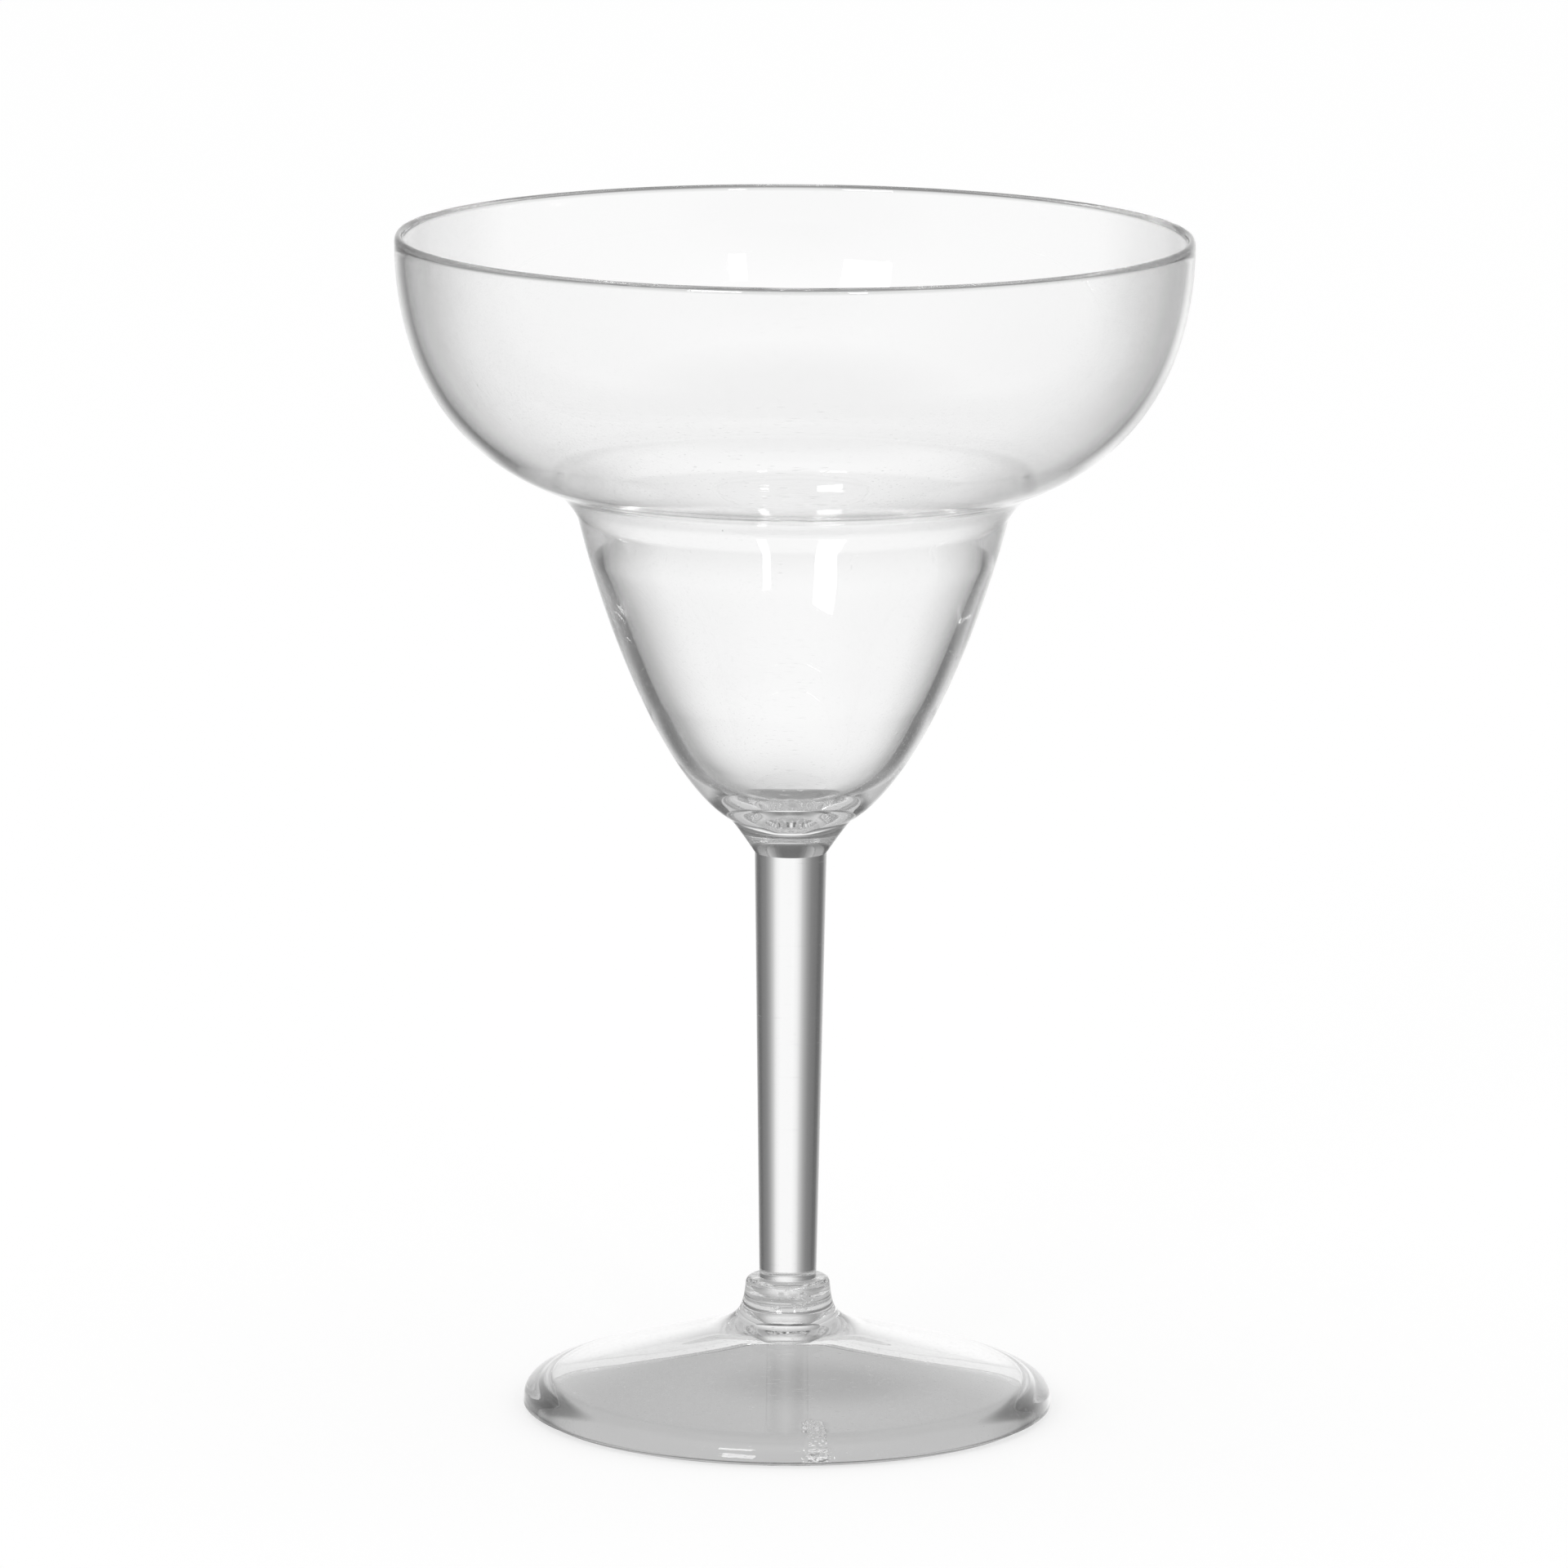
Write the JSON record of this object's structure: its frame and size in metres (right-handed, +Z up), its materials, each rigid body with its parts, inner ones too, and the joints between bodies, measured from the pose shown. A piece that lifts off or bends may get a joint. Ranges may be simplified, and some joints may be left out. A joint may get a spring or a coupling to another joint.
{
  "type": "margarita glass",
  "caption": "Stemmed margarita glass in clear rigid plastic: wide stepped bowl on a solid tapered stem, cemented into a domed hollow foot.",
  "frame": {"origin": "centre of the foot's contact ring, on the table", "axes": "+Z up along the axis of the stem and bowl; -Y faces the viewer of the picture, where the foot's gate mark is"},
  "size_m": [0.114, 0.114, 0.171],
  "materials": {
    "clear_bowl": "clear moulded polycarbonate, polished mould faces",
    "clear_foot": "clear moulded polycarbonate, polished mould faces, gate mark on the edge",
    "clear_cement": "clear cured cement with a trapped air pocket"
  },
  "bodies": {
    "root": {"bowl_and_stem": "clear_bowl", "foot": "clear_foot", "cement_film": "clear_cement"}
  },
  "joints": []
}
